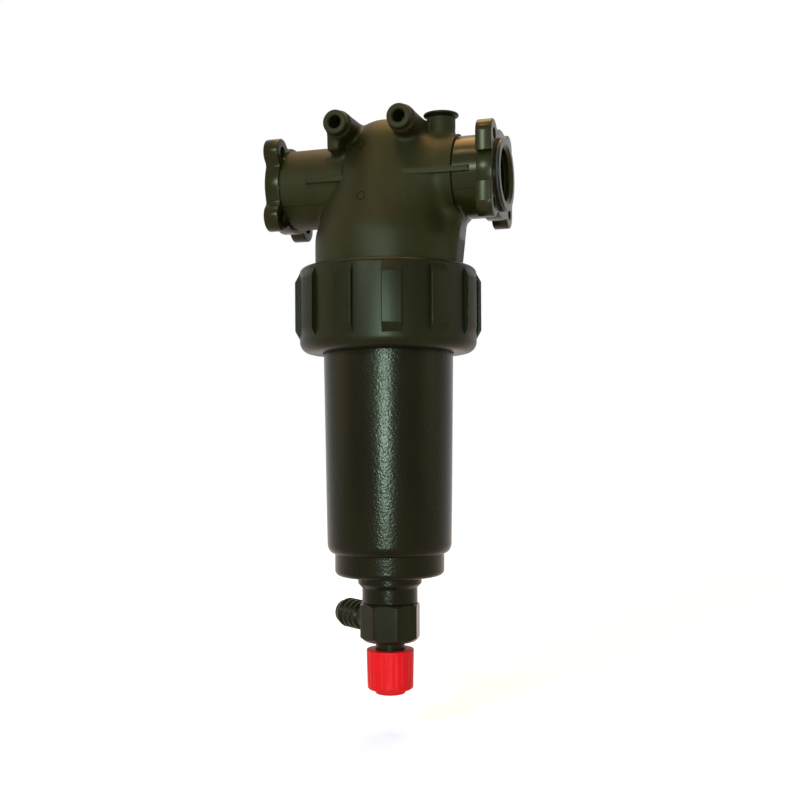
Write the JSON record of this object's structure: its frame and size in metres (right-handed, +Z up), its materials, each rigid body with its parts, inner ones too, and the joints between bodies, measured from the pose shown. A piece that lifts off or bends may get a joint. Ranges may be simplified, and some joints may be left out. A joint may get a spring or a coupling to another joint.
{
  "type": "inline filter",
  "caption": "Black plastic inline filter for a pressure line: flanged ports, a bowl on a threaded ring nut with a screen cartridge, and a drain valve with hose barb and red knob.",
  "frame": {"origin": "where the bowl's axis crosses the pipe's axis", "axes": "+X along the pipe from the inlet to the outlet, +Z up the bowl's axis towards the dome, -Y the side the bracket bosses open to"},
  "size_m": [0.1405, 0.1096, 0.3397],
  "materials": {
    "head": "fine moulded texture, satin",
    "ring_nut": "satin",
    "bowl": "fine moulded texture, satin",
    "valve": "satin",
    "plug": "satin",
    "knob": "satin gloss",
    "cartridge": "satin",
    "screen": "woven stainless wire",
    "hardware": "plain stainless",
    "seal": "matt"
  },
  "bodies": {
    "head": {"head": "head", "gauge_plug": "plug", "gauge_plug_seal": "seal", "outlet_seal": "seal"},
    "bowl": {"bowl": "bowl", "bowl_seal": "seal", "screen_top_collar": "cartridge", "screen_bottom_collar": "cartridge", "screen_cage": "cartridge", "mesh_screen": "screen", "screen_top_seal": "seal", "screen_bottom_seal": "seal", "flow_cone": "cartridge", "valve_body": "valve", "valve_seal": "seal"},
    "ring": {"ring_nut": "ring_nut"},
    "plunger": {"drain_plunger": "cartridge", "plunger_tip_seal": "seal", "plunger_gland_seal": "seal", "plunger_washer": "hardware", "plunger_screw": "hardware"},
    "knob": {"drain_knob": "knob", "knob_cap": "knob"}
  },
  "joints": [
    {"name": "bowl_drop", "type": "slide", "parent": "head", "child": "bowl", "axis": [0, 0, -1], "range_m": [0, 0.015]},
    {"name": "ring_turn", "type": "hinge", "parent": "bowl", "child": "ring", "pos_m": [0, 0, -0.0757], "axis": [0, 0, -1], "range_deg": [0, 1080]},
    {"name": "plunger_slide", "type": "slide", "parent": "bowl", "child": "plunger", "axis": [0, 0, -1], "range_m": [0, 0.005]},
    {"name": "knob_turn", "type": "hinge", "parent": "plunger", "child": "knob", "pos_m": [0, 0, -0.2871], "axis": [0, 0, -1], "range_deg": [0, 900]}
  ],
  "couplings": [
    {"joint": "bowl_drop", "follows": "ring_turn", "m_per_rad": 0.00079577},
    {"joint": "plunger_slide", "follows": "knob_turn", "m_per_rad": 0.0003183}
  ]
}
